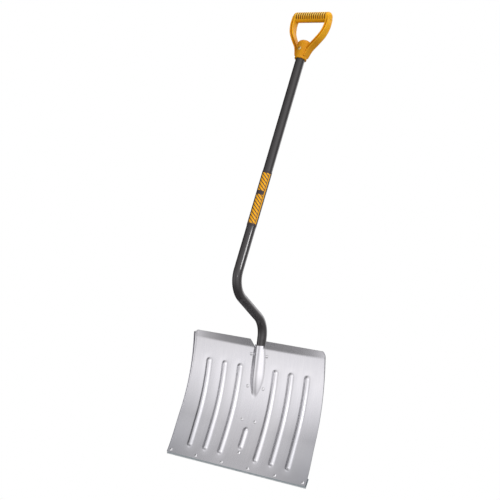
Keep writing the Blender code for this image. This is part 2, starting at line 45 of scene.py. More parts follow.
# The scoop's surface, as in the part
SCOOP_WIDTH, SCOOP_TOP_WIDTH = 0.457, 0.431
SHEET = 0.0016
EDGE_Z, FLAT_Z, DEEPEST_Z, FOLD_Z = 0.005, 0.030, 0.120, 0.331
LOWER_RADIUS, UPPER_RADIUS = 0.847, 0.500
DISH = 0.0085
LIP_EDGE_Y, LIP_EDGE_Z = -0.056, 0.3476
LIP_BEND = 0.003
CORNER = 0.0105
RIM_LOW_DEPTH, RIM_TOP_DEPTH, RIM_DEEPENS_Z = 0.0020, 0.0073, 0.110
NOTCH_LOW, NOTCH_HIGH = 0.0150, 0.0254
TONGUE_HALF, TONGUE_TOP_Z, TONGUE_TILT = 0.0138, 0.339, 0.5
RIB_X = (0.0583, 0.1090, 0.1615)
RIB_LOW, RIB_HIGH = 0.031, 0.284
RIB_HALF_WIDTH, RIB_HEIGHT = 0.0105, 0.0048
SWELL_HALF_WIDTH, SWELL_HEIGHT = 0.025, 0.0008
SHORT_RIB_LOW, SHORT_RIB_HIGH = 0.056, 0.120
CHANNEL_REACH = 0.035
CHANNEL_END_Z, CHANNEL_FULL_Z, CHANNEL_SINK = 0.198, 0.262, 0.0095
CHANNEL_TURN, PLATE_TURN = 0.60, 0.85

# Wear strip and rivets
STRIP, STRIP_HEIGHT = 0.0018, 0.026
STRIP_RIVET_Z, STRIP_RIVETS, STRIP_RIVET_REACH = 0.0125, 6, 0.217
HEAD, HEAD_HEIGHT, SHANK = 0.0043, 0.0019, 0.0022

# Shaft tube
TUBE_RADIUS, TUBE_WALL = 0.0127, 0.0014
SHAFT_Y = -0.2318
CRANK_HIGH_Z, CRANK_Y, CRANK_LOW_Z, CRANK_RADIUS = 0.438, -0.0529, 0.397, 0.063
SOCKET_LEAN = math.radians(17)
TUBE_END_Z, TUBE_TOP_Z = 0.264, 1.142
CLEARANCE = 0.0004

# Socket plate
PLATE = 0.0015
PLATE_TOP_Z, PLATE_LOW_Z = 0.322, 0.029
PLATE_TOP_HALF, PLATE_MIDDLE_HALF, PLATE_LOW_HALF = 0.036, 0.029, 0.012
PLATE_SHOULDER = 0.080
BULGE_LOW, BULGE_FULL = 0.148, 0.205
PLATE_PAIRS = ((0.0254, 0.312), (0.0256, 0.228), (0.0212, 0.138))
PLATE_LAST_Z = 0.0475
SOCKET_SCREW_Z = 0.290
THINNER = 0.0001  # keeps this finer plate inside the CAD's box

# Grip
GRIP_LOW_Z, BAR_Z, BAR_RADIUS, BAR_HALF = 1.098, 1.228, 0.0145, 0.060
HUB_LOW_RADIUS, HUB_HIGH_RADIUS = 0.0160, 0.0195
HUB_SHOULDER_Z, HUB_TOP_Z = 1.143, 1.1555
ARM_PATH = ((0.0095, 1.108), (0.0195, 1.132), (0.0355, 1.155),
            (0.0490, 1.178), (0.0545, 1.202), (0.0540, 1.226))
ARM_HALF_DEPTH, ARM_HALF_THICK, ARM_GROOVE = 0.0125, 0.0052, 0.0060
GROOVES, GROOVE_PITCH, GROOVE_HALF_WIDTH, GROOVE_DEPTH = 14, 0.0070, 0.0020, 0.0028
GROOVE_MIDDLE, GROOVE_REACH = math.radians(56), math.radians(106)
GRIP_SCREW_Z = 1.124
SCREW_HEAD, SCREW_HEAD_HEIGHT, SCREW_SHANK = 0.0048, 0.0028, 0.0021

# Label
LABEL_LOW_Z, LABEL_HIGH_Z = 0.610, 0.765
LABEL_TURN = math.radians(30)
FILM = 0.00025
SLANT_PITCH, SLANT_RISE, SLANT_SHARE = 0.0098, 0.0114, 0.68
SLANT_START, SLANT_STOP = -0.85, 0.54
BREAK_Z, BREAK_HALF = 0.7030, 0.0058
LINE_TURN, LINE_HALF = 0.80, 0.13
LABEL_MARGIN = 0.006

# Stage. A panel has a direction, a sharpness and a strength, and dim room lies between them.
PANELS = (((-0.66, -0.67, -0.32), 15.0, 0.90), ((-0.42, -0.87, 0.12), 6.0, 0.36),
          ((0.55, -0.80, -0.12), 4.0, 1.05), ((0.30, -0.20, 0.93), 8.0, 3.20),
          ((0.95, -0.28, -0.10), 6.0, 0.50), ((-0.30, -0.15, -0.94), 4.0, 0.20),
          ((0.16, 0.85, 0.50), 11.0, 1.50), ((0.72, 0.66, -0.22), 6.0, 0.34))
ROOM = 0.025
FLOOR_Z, FLOOR_HALF = -0.0006, 12.0

# Camera: angles, and its place from the shaft's axis along its own right, up and backward directions
AZIMUTH, ELEVATION, ROLL = math.radians(35.9), math.radians(-13.2), math.radians(16.3)
TO_RIGHT, UPWARD, BACKWARD = 0.163, 0.508, 2.904
SENSOR, LENS = 36.0, 83.376


# ---------------------------------------------------------------- mesh helpers

def ease(value):
    value = min(max(value, 0.0), 1.0)
    return value * value * (3 - 2 * value)


def between(low, high, steps):
    return [low + (high - low) * i / steps for i in range(steps + 1)]


def piece(name, bm, mat, replaces=(), sharp=35):
    """Links a mesh as a finished piece that rides on the shovel."""
    mesh = bpy.data.meshes.new(name)
    bm.to_mesh(mesh)
    bm.free()
    mesh.shade_smooth()
    mesh.set_sharp_from_angle(angle=math.radians(sharp))
    mesh.materials.append(mat)
    obj = bpy.data.objects.new(name, mesh)
    bpy.context.scene.collection.objects.link(obj)
    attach(obj, "root")
    for node in replaces:
        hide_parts(node)
    return obj


def helper(name, bm):
    mesh = bpy.data.meshes.new(name)
    bm.to_mesh(mesh)
    bm.free()
    obj = bpy.data.objects.new(name, mesh)
    bpy.context.scene.collection.objects.link(obj)
    return obj


def apply_modifiers(obj, helpers=()):
    """Bakes the modifiers into the mesh and removes the cutters that they used."""
    graph = bpy.context.evaluated_depsgraph_get()
    graph.update()
    mesh = bpy.data.meshes.new_from_object(obj.evaluated_get(graph))
    obj.modifiers.clear()
    obj.data = mesh
    for other in helpers:
        bpy.data.objects.remove(other, do_unlink=True)


def boolean(obj, operation, other):
    modifier = obj.modifiers.new(operation, "BOOLEAN")
    modifier.operation = operation
    modifier.object = other
    modifier.solver = "EXACT"


def grid(rows):
    bm = bmesh.new()
    made = [[bm.verts.new(point) for point in row] for row in rows]
    for low, high in zip(made, made[1:]):
        for i in range(len(low) - 1):
            bm.faces.new((low[i], low[i + 1], high[i + 1], high[i]))
    return bm


def skin(rings, closed_ends=True):
    bm = bmesh.new()
    made = [[bm.verts.new(point) for point in ring] for ring in rings]
    pairs = list(zip(made, made[1:]))
    if not closed_ends:
        pairs.append((made[-1], made[0]))
    for low, high in pairs:
        for i in range(len(low)):
            j = (i + 1) % len(low)
            bm.faces.new((low[i], low[j], high[j], high[i]))
    if closed_ends:
        bm.faces.new(made[0])
        bm.faces.new(made[-1])
    bmesh.ops.recalc_face_normals(bm, faces=bm.faces)
    return bm


def turned(profile, sides):
    bm = bmesh.new()
    points = [bm.verts.new((radius, 0, z)) for radius, z in profile]
    edges = [bm.edges.new(pair) for pair in zip(points, points[1:])]
    bmesh.ops.spin(bm, geom=points + edges, cent=(0, 0, 0), axis=(0, 0, 1),
                   angle=math.tau, steps=sides, use_merge=True)
    bmesh.ops.remove_doubles(bm, verts=bm.verts, dist=1e-6)
    bmesh.ops.recalc_face_normals(bm, faces=bm.faces)
    return bm


def facing(direction, place):
    turn = Vector(direction).to_track_quat("Z", "Y").to_matrix().to_4x4()
    return Matrix.Translation(place) @ turn


# ---------------------------------------------------------------- material helpers

class Nodes:
    """A short way to write a node tree: each call adds a node and returns it."""

    def __init__(self, tree):
        self.tree = tree

    def add(self, kind, inputs=None, **settings):
        node = self.tree.nodes.new(kind)
        for name, value in settings.items():
            setattr(node, name, value)
        for name, value in (inputs or {}).items():
            socket = node.inputs[name]
            if isinstance(value, bpy.types.NodeSocket):
                self.tree.links.new(value, socket)
            else:
                socket.default_value = value
        return node

    def math(self, operation, a, b=0.0, c=0.0, clamp=False):
        node = self.add("ShaderNodeMath", {0: a, 1: b, 2: c}, operation=operation, use_clamp=clamp)
        return node.outputs[0]

    def noise(self, vector, scale, detail=2.0, roughness=0.5):
        node = self.add("ShaderNodeTexNoise", {"Vector": vector, "Scale": scale, "Detail": detail,
                                               "Roughness": roughness})
        return node.outputs["Fac"]

    def stretch(self, vector, scale):
        return self.add("ShaderNodeMapping", {"Vector": vector, "Scale": scale}).outputs[0]

    def between(self, value, low, high, to_low=0.0, to_high=1.0):
        node = self.add("ShaderNodeMapRange", {"Value": value, "From Min": low, "From Max": high,
                                               "To Min": to_low, "To Max": to_high})
        return node.outputs[0]

    def mix(self, share, a, b):
        node = self.add("ShaderNodeMix", {0: share, 6: a, 7: b}, data_type="RGBA")
        return node.outputs[2]

    def bump(self, height, strength, distance, normal=None):
        inputs = {"Height": height, "Strength": strength, "Distance": distance}
        if normal is not None:
            inputs["Normal"] = normal
        return self.add("ShaderNodeBump", inputs).outputs[0]


def new_material(name, **constants):
    """A Principled material with its constants on the shader's own sockets."""
    made = bpy.data.materials.new(name)
    made.use_nodes = True
    nodes = Nodes(made.node_tree)
    shader = made.node_tree.nodes["Principled BSDF"]
    for socket, value in constants.items():
        shader.inputs[socket.replace("_", " ")].default_value = value
    place = nodes.add("ShaderNodeTexCoord").outputs["Object"]
    return made, nodes, shader, place


def rgb(r, g, b):
    return (r, g, b, 1.0)


def connect(nodes, shader, colour=None, roughness=None, normal=None):
    for socket, value in (("Base Color", colour), ("Roughness", roughness), ("Normal", normal)):
        if value is not None:
            nodes.tree.links.new(value, shader.inputs[socket])


def scoop_material():
    """Mill-finished aluminium: drawn streaks up the sheet, soft blotches, scuffs near the edge, painted
    shade darkening the lower corners, and painted shade, near black, on the rims' outer faces."""
    made, n, shader, place = new_material("scoop_aluminium", Metallic=1.0)
    streaks = n.noise(n.stretch(place, (420, 60, 5)), 1.0, 3.0, 0.6)
    fine = n.noise(n.stretch(place, (2600, 200, 30)), 1.0, 2.0, 0.6)
    cloud = n.noise(place, 9.0, 3.0, 0.55)
    height = n.add("ShaderNodeSeparateXYZ", {"Vector": place}).outputs["Z"]
    low = n.between(height, 0.10, 0.0)
    scuff_noise = n.noise(n.stretch(place, (900, 200, 40)), 1.0, 4.0, 0.7)
    scuffs = n.math("MULTIPLY", n.between(scuff_noise, 0.56, 0.70), low)
    tone = n.math("MULTIPLY_ADD", streaks, 0.10, n.math("MULTIPLY", cloud, 0.10))
    colour = n.mix(n.between(tone, 0.06, 0.15), rgb(0.80, 0.80, 0.84), rgb(0.93, 0.92, 0.94))
    colour = n.mix(n.math("MULTIPLY", scuffs, 0.35), colour, rgb(0.62, 0.62, 0.64))
    # Painted shade: the lower corners, away from the middle and low on the sheet, are darkened towards
    # grey.
    across = n.add("ShaderNodeSeparateXYZ", {"Vector": place}).outputs["X"]
    side = n.math("ABSOLUTE", across)
    ragged = n.math("MULTIPLY_ADD", cloud, 0.06, side)
    corner_painted_shade = n.math("MULTIPLY", n.between(ragged, 0.09, 0.26), n.between(height, 0.26, 0.05))
    colour = n.mix(n.math("MULTIPLY", corner_painted_shade, 0.85), colour, rgb(0.50, 0.51, 0.54))
    # Painted shade: faces turned sideways, the rims' outer faces, are painted near black.
    normal = n.add("ShaderNodeNewGeometry").outputs["Normal"]
    sideways = n.add("ShaderNodeSeparateXYZ", {"Vector": normal}).outputs["X"]
    rim_painted_shade = n.between(n.math("ABSOLUTE", sideways), 0.70, 0.84)
    colour = n.mix(n.math("MULTIPLY", rim_painted_shade, 0.88), colour, rgb(0.07, 0.07, 0.08))
    rough = n.math("MULTIPLY_ADD", fine, 0.08, n.math("MULTIPLY_ADD", cloud, 0.10, 0.19))
    rough = n.math("ADD", rough, n.math("MULTIPLY", scuffs, 0.12))
    bump = n.bump(fine, 0.10, 0.0002)
    bump = n.bump(streaks, 0.10, 0.0006, bump)
    connect(n, shader, colour, rough, bump)
    return made


def strip_material():
    """Galvanised spring steel: crystal spangle, and bare rubbed metal along the working edge."""
    made, n, shader, place = new_material("galvanised_steel", Metallic=1.0)
    cells = n.add("ShaderNodeTexVoronoi", {"Vector": place, "Scale": 240.0})
    spangle = n.add("ShaderNodeSeparateColor", {"Color": cells.outputs["Color"]}).outputs[0]
    cloud = n.noise(place, 30.0, 4.0)
    height = n.add("ShaderNodeSeparateXYZ", {"Vector": place}).outputs["Z"]
    ragged = n.math("MULTIPLY_ADD", n.noise(place, 160.0, 3.0), 0.004, height)
    lightened_band = n.between(ragged, 0.0050, 0.0030)
    colour = n.mix(spangle, rgb(0.36, 0.42, 0.44), rgb(0.48, 0.54, 0.55))
    colour = n.mix(n.math("MULTIPLY", cloud, 0.4), colour, rgb(0.30, 0.36, 0.38))
    colour = n.mix(lightened_band, colour, rgb(0.66, 0.68, 0.69))
    rough = n.math("MULTIPLY_ADD", spangle, 0.16, 0.36)
    scratches = n.noise(n.stretch(place, (60, 60, 1600)), 1.0, 3.0, 0.7)
    connect(n, shader, colour, rough, n.bump(scratches, 0.12, 0.0003))
    return made


def metal_material(name, dark, light, rough_low, rough_high, scale):
    """Small bright fittings: blotched tone, turning marks and tiny dents."""
    made, n, shader, place = new_material(name, Metallic=1.0)
    cloud = n.noise(place, scale, 4.0, 0.6)
    colour = n.mix(n.between(cloud, 0.35, 0.65), dark, light)
    rough = n.between(n.noise(place, scale * 3, 2.0), 0.3, 0.7, rough_low, rough_high)
    dents = n.noise(place, scale * 6, 3.0, 0.6)
    connect(n, shader, colour, rough, n.bump(dents, 0.12, 0.0002))
    return made


def paint_material():
    """Charcoal powder coat: orange peel, faint dust in the tone, and uneven gloss."""
    made, n, shader, place = new_material("charcoal_paint", Metallic=0.0, Coat_Weight=1.0,
                                          Coat_Roughness=0.06, Coat_IOR=1.5, IOR=1.45)
    cloud = n.noise(n.stretch(place, (1, 1, 0.35)), 26.0, 4.0, 0.6)
    grain = n.noise(place, 1500.0, 2.0)
    colour = n.mix(n.between(cloud, 0.3, 0.7), rgb(0.013, 0.011, 0.012), rgb(0.025, 0.021, 0.022))
    dust = n.math("MULTIPLY", n.between(grain, 0.45, 0.75), 0.25)
    colour = n.mix(dust, colour, rgb(0.10, 0.09, 0.09))
    rough = n.between(cloud, 0.3, 0.7, 0.24, 0.36)
    bump = n.bump(n.noise(place, 420.0, 2.0), 0.04, 0.0003)
    bump = n.bump(grain, 0.06, 0.0001, bump)
    connect(n, shader, colour, rough, bump)
    return made


def plastic_material():
    """Amber moulded plastic: slight flow marks, a fine spark-eroded grain, painted shade in the hollows,
    painted highlights on the convex edges, deeper orange on the hub, painted shade in the grooves round
    the bar, and a painted highlight on the bar's upper ridges."""
    made, n, shader, place = new_material("amber_plastic", Metallic=0.0, IOR=1.48,
                                          Subsurface_Weight=0.10, Subsurface_Scale=0.003,
                                          Specular_IOR_Level=0.18)
    shader.inputs["Subsurface Radius"].default_value = (1.0, 0.45, 0.10)
    flow = n.noise(n.stretch(place, (1, 1, 0.6)), 34.0, 4.0, 0.6)
    grain = n.noise(place, 1900.0, 2.0)
    axes = n.add("ShaderNodeSeparateXYZ", {"Vector": place})
    x, y, height = (axes.outputs[i] for i in range(3))
    colour = n.mix(n.between(flow, 0.3, 0.7), rgb(0.86, 0.40, 0.008), rgb(0.95, 0.48, 0.012))
    smudges = n.math("MULTIPLY", n.between(n.noise(place, 150.0, 4.0), 0.52, 0.75), 0.3)
    colour = n.mix(smudges, colour, rgb(0.50, 0.20, 0.010))
    # Painted shade: hollows, found by pointiness, are darkened to brown.
    bend = n.add("ShaderNodeNewGeometry").outputs["Pointiness"]
    hollow_painted_shade = n.math("MULTIPLY", n.between(bend, 0.50, 0.44), 0.85)
    colour = n.mix(hollow_painted_shade, colour, rgb(0.26, 0.085, 0.004))
    # Painted highlight: convex edges, found by pointiness, are lightened to pale yellow.
    edges = n.math("MULTIPLY", n.between(bend, 0.515, 0.57), 0.45)
    colour = n.mix(edges, colour, rgb(1.0, 0.60, 0.06))
    # Deeper orange on the hub, below the arms, varied with the flow marks.
    thick = n.math("MULTIPLY", n.between(height, 1.168, 1.150), n.between(flow, 0.2, 0.6, 0.25, 0.75))
    colour = n.mix(thick, colour, rgb(0.62, 0.235, 0.006))
    forward = n.math("SUBTRACT", y, SHAFT_Y)
    upward = n.math("SUBTRACT", height, BAR_Z)
    from_axis = n.math("SQRT", n.math("ADD", n.math("MULTIPLY", forward, forward),
                                      n.math("MULTIPLY", upward, upward)))
    on_bar = n.math("LESS_THAN", n.math("ABSOLUTE", x), 0.0485)
    # Painted shade: the bar's grooves, sunk below its outer radius, are darkened to near-black brown.
    groove_painted_shade = n.math("MULTIPLY", n.between(from_axis, BAR_RADIUS - 0.0004, BAR_RADIUS - 0.0018), on_bar)
    colour = n.mix(n.math("MULTIPLY", groove_painted_shade, 0.95), colour, rgb(0.17, 0.050, 0.003))
    # Painted highlight: the bar's outer ridges on its upper side are lightened to pale yellow.
    lightened_band = n.math("MULTIPLY", n.between(from_axis, BAR_RADIUS - 0.0005, BAR_RADIUS - 0.0001), on_bar)
    lightened_band = n.math("MULTIPLY", lightened_band, n.between(upward, -0.004, 0.001))
    colour = n.mix(n.math("MULTIPLY", lightened_band, 0.95), colour, rgb(1.0, 0.74, 0.20))
    worn = n.math("MULTIPLY", n.between(height, 1.205, 1.235), -0.06)
    rough = n.math("ADD", n.between(flow, 0.3, 0.7, 0.30, 0.42), worn)
    connect(n, shader, colour, rough, n.bump(grain, 0.12, 0.00012))
    return made


def label_material():
    """A generic print: two groups of slanted amber bars beside a thin amber line, on a dark film."""
    made, n, shader, place = new_material("label_film", Metallic=0.0, IOR=1.45,
                                          Specular_IOR_Level=0.3)
    axes = n.add("ShaderNodeSeparateXYZ", {"Vector": place})
    x, y, z = (axes.outputs[i] for i in range(3))
    turn = n.math("ARCTAN2", x, n.math("SUBTRACT", SHAFT_Y, y))
    along = n.math("DIVIDE", n.math("MULTIPLY_ADD", turn, SLANT_RISE, z), SLANT_PITCH)
    bar = n.math("LESS_THAN", n.math("FRACT", along), SLANT_SHARE)
    start = n.math("GREATER_THAN", turn, LABEL_TURN + SLANT_START)
    stop = n.math("LESS_THAN", turn, LABEL_TURN + SLANT_STOP)
    from_break = n.math("ABSOLUTE", n.math("SUBTRACT", z, BREAK_Z))
    apart = n.math("GREATER_THAN", from_break, BREAK_HALF)
    bars = n.math("MULTIPLY", n.math("MULTIPLY", bar, apart), n.math("MULTIPLY", start, stop))
    from_line = n.math("ABSOLUTE", n.math("SUBTRACT", turn, LABEL_TURN + LINE_TURN))
    line = n.math("LESS_THAN", from_line, LINE_HALF)
    ends = n.math("MULTIPLY", n.math("GREATER_THAN", z, LABEL_LOW_Z + LABEL_MARGIN),
                  n.math("LESS_THAN", z, LABEL_HIGH_Z - LABEL_MARGIN))
    ink = n.math("MULTIPLY", n.math("MAXIMUM", bars, line), ends)
    rub = n.between(n.noise(place, 900.0, 4.0, 0.7), 0.60, 0.72)
    ink = n.math("MULTIPLY", ink, n.math("MULTIPLY_ADD", rub, -0.5, 1.0))
    shade = n.mix(n.noise(place, 120.0, 3.0), rgb(1.0, 0.50, 0.006), rgb(0.92, 0.39, 0.006))
    colour = n.mix(ink, rgb(0.060, 0.045, 0.045), shade)
    rough = n.between(n.noise(place, 200.0, 2.0), 0.3, 0.7, 0.30, 0.42)
    connect(n, shader, colour, rough, n.bump(ink, 0.15, 0.0001))
    return made


# ---------------------------------------------------------------- the scoop's surface

def middle_y(z):
    def arc(height):
        radius = LOWER_RADIUS if height < DEEPEST_Z else UPPER_RADIUS
        return -((height - DEEPEST_Z) ** 2) / (2 * radius)

    slope = (DEEPEST_Z - FLAT_Z) / LOWER_RADIUS
    foot = arc(FLAT_Z) - slope * FLAT_Z
    shape = arc(z) if z > FLAT_Z else arc(FLAT_Z) - slope * (FLAT_Z - z)
    return shape - foot - (SHEET + GAP + STRIP / 2)


def half_width(z):
    share = min(z / FOLD_Z, 1.0)
    return (SCOOP_WIDTH + (SCOOP_TOP_WIDTH - SCOOP_WIDTH) * share) / 2


def face_y(x, z):
    return middle_y(z) - DISH * ease(z / DEEPEST_Z) * (x / half_width(z)) ** 2


def face_normal(x, z):
    step = 0.001
    slope_x = (face_y(x + step, z) - face_y(x - step, z)) / (2 * step)
    slope_z = (face_y(x, z + step) - face_y(x, z - step)) / (2 * step)
    return Vector((slope_x, -1, slope_z)).normalized()


RIBS = [(side * rib, RIB_LOW, RIB_HIGH, SWELL_HEIGHT) for rib in RIB_X for side in (-1, 1)]
RIBS.append((0, SHORT_RIB_LOW, SHORT_RIB_HIGH, 0.0))


def hill(away, half_width, height):
    return height * (0.5 + 0.5 * math.cos(math.pi * min(away / half_width, 1.0)))


def rib_height(x, z):
    height = 0.0
    for rib_x, low, high, swell in RIBS:
        if abs(x - rib_x) < SWELL_HALF_WIDTH:
            nearest = min(max(z, low + RIB_HALF_WIDTH), high - RIB_HALF_WIDTH)
            away = math.hypot(x - rib_x, z - nearest)
            height += hill(away, RIB_HALF_WIDTH, RIB_HEIGHT) + hill(away, SWELL_HALF_WIDTH, swell)
    return height


def socket_y(z):
    return CRANK_Y + (CRANK_LOW_Z - z) * math.tan(SOCKET_LEAN)


def round_back(x, radius, turn):
    share = abs(x) / radius
    if share < turn:
        height = math.sqrt(1 - share ** 2)
    else:
        turned_height = math.sqrt(1 - turn ** 2)
        height = turned_height - (share - turn) * turn / turned_height
    return radius * height / math.cos(SOCKET_LEAN)


def soft_above(height, blend=0.003):
    if abs(height) >= blend:
        return max(height, 0.0)
    return (height + blend) ** 2 / (4 * blend)


def channel_height(x, z):
    front = socket_y(z) - round_back(x, TUBE_RADIUS + CLEARANCE + SHEET, CHANNEL_TURN)
    below = max(CHANNEL_FULL_Z - z, 0.0) / (CHANNEL_FULL_Z - CHANNEL_END_Z)
    return soft_above(face_y(x, z) - front - CHANNEL_SINK * below ** 2)


def sheet_point(x, z):
    height = channel_height(x, z) if abs(x) < CHANNEL_REACH else 0
    return Vector((x, face_y(x, z) - height - rib_height(x, z), z))


def lip_point(x, share):
    """A point on the lip: share -1 is where the bend starts, 0 the fold, and 1 the free edge."""
    fold = sheet_point(x, FOLD_Z)
    edge = Vector((x, LIP_EDGE_Y, LIP_EDGE_Z))
    if abs(x) < TONGUE_HALF:
        rise = (LIP_EDGE_Z - FOLD_Z) * share if share > 0 else LIP_BEND * share
        return fold + Vector((0, -rise * math.tan(SOCKET_LEAN), rise))
    reach = LIP_BEND / (edge - fold).length
    if share >= reach:
        return fold.lerp(edge, share)
    below = sheet_point(x, FOLD_Z - LIP_BEND)
    above = fold.lerp(edge, reach)
    along = (share + 1) / (reach + 1)
    return below.lerp(fold, along).lerp(fold.lerp(above, along), along)


def rim_points(z, share, count=9):
    """X and forward offset of the side rim's points at one row. Along the lip the rim unrolls."""
    fade = 1 - 0.95 * ease(max(share, 0) ** 2)
    deepening = max(z - RIM_DEEPENS_Z, 0.0) / (FOLD_Z - RIM_DEEPENS_Z)
    depth = RIM_LOW_DEPTH + (RIM_TOP_DEPTH - RIM_LOW_DEPTH) * min(deepening, 1.0) ** 2
    depth *= 0.3 + 0.7 * fade
    bend, flange = depth * 0.6, depth * 0.4
    turn = math.pi / 2 * fade
    radius = bend / fade
    side = Vector((half_width(FOLD_Z), face_y(half_width(FOLD_Z), FOLD_Z), FOLD_Z))
    length = math.hypot(LIP_EDGE_Y - side.y, LIP_EDGE_Z - side.z)
    into_corner = max(share * length - (length - CORNER), 0.0)
    edge = half_width(z) - SHEET - CORNER + math.sqrt(CORNER ** 2 - into_corner ** 2)
    start = edge - radius * math.sin(turn) - flange * math.cos(turn)
    points = [(start + radius * math.sin(turn * part), radius * (1 - math.cos(turn * part)))
              for part in between(0, 1, count - 1)]
    last_x, last_forward = points[-1]
    points.append((last_x + flange * math.cos(turn), last_forward + flange * math.sin(turn)))
    return points


def whole_row(rim, point_at):
    """One row from rim to rim, mirrored, with its points closest together over channel and ribs."""
    inner = between(0, 0.022, 20) + between(0.022, 0.180, 79)[1:]
    inner += between(0.180, rim[0][0], 9)[1:-1]
    points = [point_at(x) for x in inner]
    points += [point_at(x) - Vector((0, forward, 0)) for x, forward in rim]
    left = [Vector((-point.x, point.y, point.z)) for point in reversed(points[1:])]
    return left + points


def make_scoop(mat):
    heights = between(EDGE_Z, RIB_LOW, 8) + between(RIB_LOW, FOLD_Z - LIP_BEND, 130)[1:]
    rows = [whole_row(rim_points(z, 0), lambda x, z=z: sheet_point(x, z)) for z in heights]
    for share in between(-1, 1, 34)[1:]:
        z = FOLD_Z + min(share, 0) * LIP_BEND
        rows.append(whole_row(rim_points(z, share), lambda x, share=share: lip_point(x, share)))
    obj = piece("scoop_sheet", grid(rows), mat, ("scoop_blade",))
    sheet = obj.modifiers.new("sheet", "SOLIDIFY")
    sheet.thickness = SHEET
    sheet.offset = -1
    sheet.use_even_offset = True
    fold_y = middle_y(FOLD_Z)
    edge_z = LIP_EDGE_Z + TONGUE_TILT * (fold_y - LIP_EDGE_Y)
    flare = (NOTCH_HIGH - NOTCH_LOW) / (edge_z - FOLD_Z)
    high = edge_z + 0.012
    top = NOTCH_LOW + flare * (high - FOLD_Z)
    outline = ((-top, high), (-NOTCH_LOW, FOLD_Z), (-TONGUE_HALF, TONGUE_TOP_Z),
               (TONGUE_HALF, TONGUE_TOP_Z), (NOTCH_LOW, FOLD_Z), (top, high))
    rings = [[(x, y, z + TONGUE_TILT * (y - fold_y)) for x, z in outline] for y in (-0.09, 0.03)]
    cutter = helper("notch_cutter", skin(rings))
    boolean(obj, "DIFFERENCE", cutter)
    apply_modifiers(obj, [cutter])
    obj.data.set_sharp_from_angle(angle=math.radians(35))


def make_wear_strip(mat):
    """A flat bar with slightly rounded edges."""
    front = -STRIP / 2
    lean = middle_y(STRIP_HEIGHT) - middle_y(0)
    half = SCOOP_WIDTH / 2
    section = [(front, 0), (-front, 0), (-front + lean, STRIP_HEIGHT), (front + lean, STRIP_HEIGHT)]
    rings = [[(x, y, z) for y, z in section] for x in between(-half, half, 60)]
    bm = skin(rings)
    corners = [edge for edge in bm.edges if len(edge.link_faces) == 2 and edge.calc_face_angle() > 0.6]
    bmesh.ops.bevel(bm, geom=corners, offset=0.00035, segments=2, profile=0.6, affect="EDGES")
    piece("strip_bar", bm, mat, ("wear_strip",))


def rivet_bmesh(grip):
    """A domed head above 0, and an upset head below the sheets that it grips."""
    under = -(grip + GAP)
    head = [(HEAD * math.cos(a), GAP + 0.0003 + (HEAD_HEIGHT - 0.0003) * math.sin(a))
            for a in between(math.pi / 2, 0, 8)]
    upset = [(SHANK, GAP), (SHANK, under), (HEAD * 0.85, under), (HEAD * 0.84, under - 0.0006),
             (HEAD * 0.70, under - 0.0010), (HEAD * 0.3, under - 0.0012), (0, under - 0.00115)]
    head[0] = (0, head[0][1])
    return turned(head + [(HEAD, GAP)] + upset, 32)


def make_rivets(name, node, places, backing, mat):
    for number, (x, z) in enumerate(places, 1):
        bm = rivet_bmesh(SHEET + GAP + backing)
        spin = Matrix.Rotation(number * 1.3, 4, "Z")
        bm.transform(facing(face_normal(x, z), (x, face_y(x, z), z)) @ spin)
        piece(f"{name}_{number}", bm, mat, (f"{node}_{number}",))


def plate_half(z):
    middle_z = PLATE_PAIRS[-1][1]
    share = min((z - PLATE_LOW_Z) / (middle_z - PLATE_LOW_Z), 1.0)
    half = PLATE_LOW_HALF + (PLATE_MIDDLE_HALF - PLATE_LOW_HALF) * share
    half += (PLATE_TOP_HALF - PLATE_MIDDLE_HALF) * ease((z - middle_z) / PLATE_SHOULDER)
    above_foot = z - PLATE_LOW_Z - PLATE_LOW_HALF
    if above_foot < 0:
        half = min(half, math.sqrt(PLATE_LOW_HALF ** 2 - above_foot ** 2) + 0.0015)
    return half


def plate_point(x, z):
    lean = math.atan((FOLD_Z - DEEPEST_Z) / UPPER_RADIUS) * ease((z - DEEPEST_Z) / 0.2)
    rest = face_y(x, z) + (SHEET + GAP) / math.cos(lean)
    bulge = soft_above(socket_y(z) + round_back(x, TUBE_RADIUS + CLEARANCE, PLATE_TURN) - rest, 0.0018)
    return Vector((x, rest + bulge * ease((z - BULGE_LOW) / (BULGE_FULL - BULGE_LOW)), z))


def make_socket_plate(mat, screw_metal):
    heights = [PLATE_LOW_Z + PLATE_LOW_HALF * (1 - math.cos(a)) for a in between(0, math.pi / 2, 10)]
    heights += between(heights[-1], PLATE_TOP_Z, 100)[1:]
    rows = []
    for z in heights:
        half = plate_half(z)
        rows.append([plate_point(-x, z) for x in between(-half, half, 60)])
    obj = piece("socket_back", grid(rows), mat, ("socket_plate",))
    sheet = obj.modifiers.new("sheet", "SOLIDIFY")
    sheet.thickness = PLATE - THINNER
    sheet.offset = 1
    sheet.use_even_offset = True
    apply_modifiers(obj)
    obj.data.set_sharp_from_angle(angle=math.radians(35))
    direction = Vector((0, math.cos(SOCKET_LEAN), math.sin(SOCKET_LEAN)))
    axis = Vector((0, socket_y(SOCKET_SCREW_Z), SOCKET_SCREW_Z))
    seat = axis + direction * (TUBE_RADIUS + CLEARANCE + PLATE + 2 * GAP)
    make_screw("socket_pin", "socket_screw", seat, direction, screw_metal)


# ---------------------------------------------------------------- shaft

